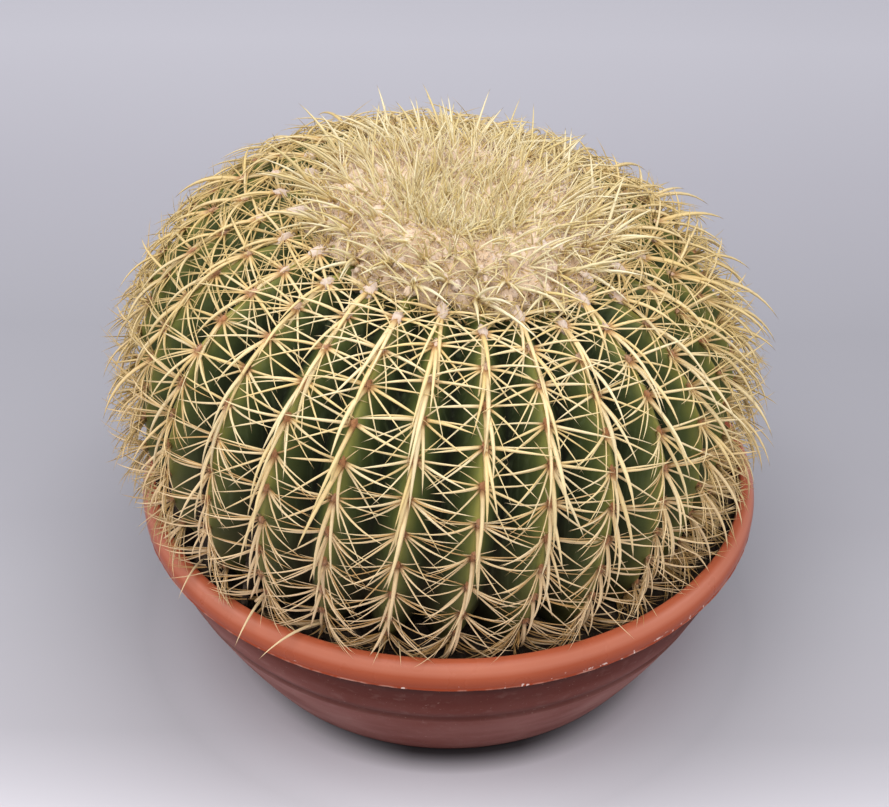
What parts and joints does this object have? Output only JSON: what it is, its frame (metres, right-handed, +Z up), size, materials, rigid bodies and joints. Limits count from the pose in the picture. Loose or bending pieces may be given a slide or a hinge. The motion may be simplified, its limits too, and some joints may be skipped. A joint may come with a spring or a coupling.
{
  "type": "potted round cactus",
  "caption": "Round ribbed cactus with golden spines and a woolly crown, growing in a terracotta-coloured plastic bowl.",
  "frame": {"origin": "middle of the bowl's flat underside, on the surface that it stands on", "axes": "+Z up, -Y towards the side that the plant is looked at from, +X to its right"},
  "size_m": [0.3852, 0.3869, 0.319],
  "materials": {
    "bowl_plastic": "satin",
    "potting_soil": "rough",
    "cactus_flesh": "satin",
    "spines_and_wool": "matte"
  },
  "bodies": {
    "root": {"bowl": "bowl_plastic", "soil": "potting_soil", "cactus": "cactus_flesh", "crown_wool": "spines_and_wool"}
  },
  "joints": []
}
